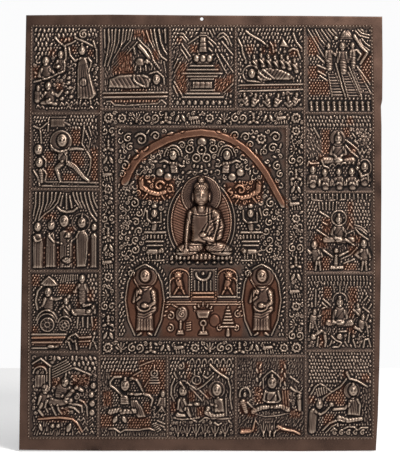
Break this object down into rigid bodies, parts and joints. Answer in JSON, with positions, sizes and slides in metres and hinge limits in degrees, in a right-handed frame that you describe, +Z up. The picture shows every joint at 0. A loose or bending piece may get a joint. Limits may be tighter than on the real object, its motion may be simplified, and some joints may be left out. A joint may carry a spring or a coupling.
{
  "type": "repousse votive plaque",
  "caption": "Tall rectangular wall plaque of beaten copper sheet, with small rope-bordered scenes in low relief round a large seated figure, hung from one nail hole.",
  "frame": {"origin": "middle of the nail hole in the top margin, in the plane of the sheet's flat back", "axes": "+X to the viewer's right, +Z up, the front and its relief face -Y and the flat back faces +Y"},
  "size_m": [0.5102, 0.0257, 0.6127],
  "materials": {
    "copper": "dark patinated copper, worn bright on the high points"
  },
  "bodies": {
    "root": {"plaque_sheet": "copper"}
  },
  "joints": []
}
